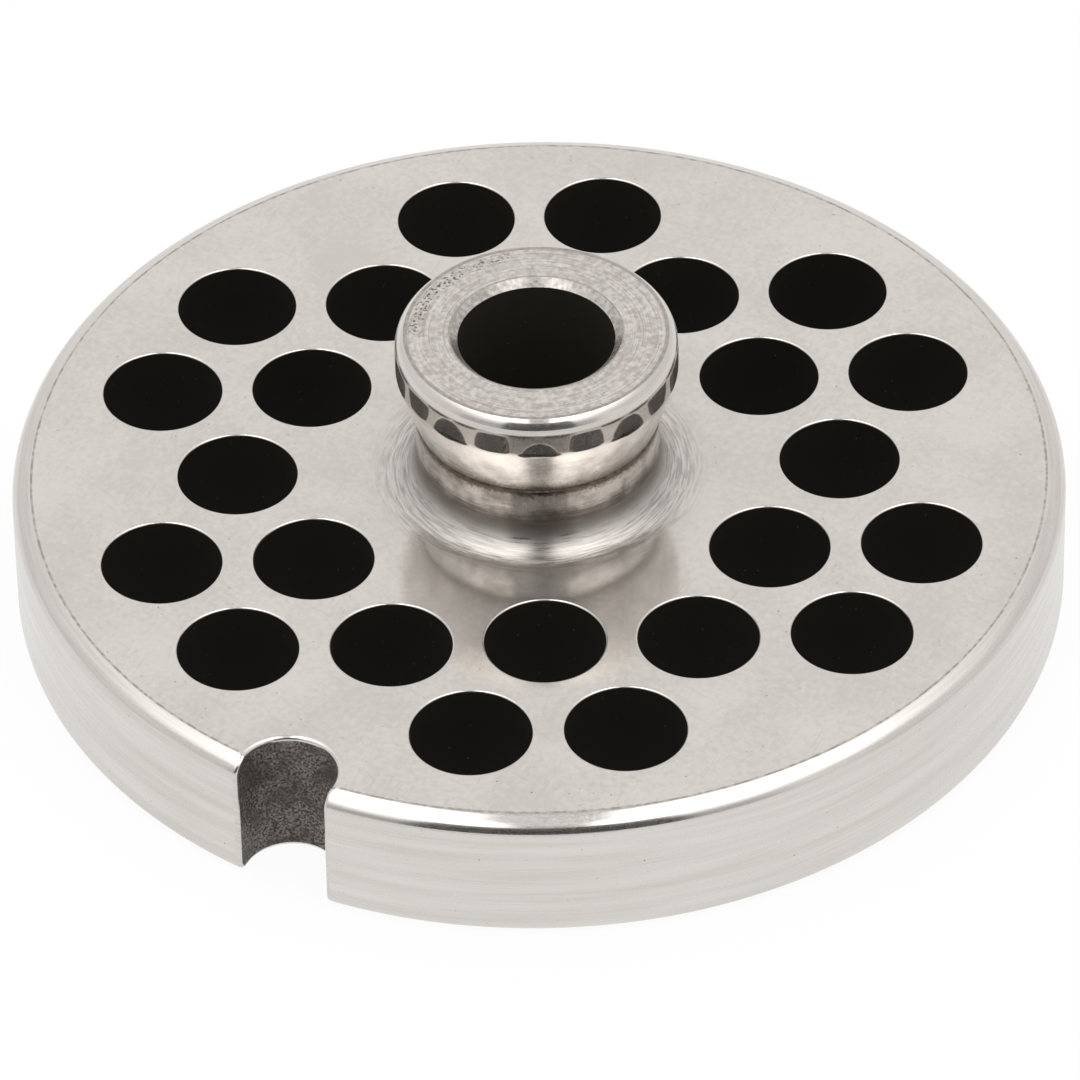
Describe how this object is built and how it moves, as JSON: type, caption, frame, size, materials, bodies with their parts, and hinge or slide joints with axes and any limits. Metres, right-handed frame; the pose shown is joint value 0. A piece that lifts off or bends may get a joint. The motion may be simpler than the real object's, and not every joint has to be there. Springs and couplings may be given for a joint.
{
  "type": "meat grinder plate",
  "caption": "Round steel meat grinder plate with a hexagonal field of mincing holes, a flared hub with a stud bore, and a U-shaped locating notch in the rim.",
  "frame": {"origin": "centre of the flat cutting face, which the plate lies on", "axes": "+Z along the bore, from the cutting face to the hub; +X along a row of mincing holes"},
  "size_m": [0.07, 0.07, 0.0212],
  "materials": {
    "ground_steel": "fine ground, with dark walls in the holes and a polished bevel",
    "polished_steel": "polished flare, band and crown, with a finely turned top face"
  },
  "bodies": {
    "root": {"plate": "ground_steel", "hub_bushing": "polished_steel"}
  },
  "joints": []
}
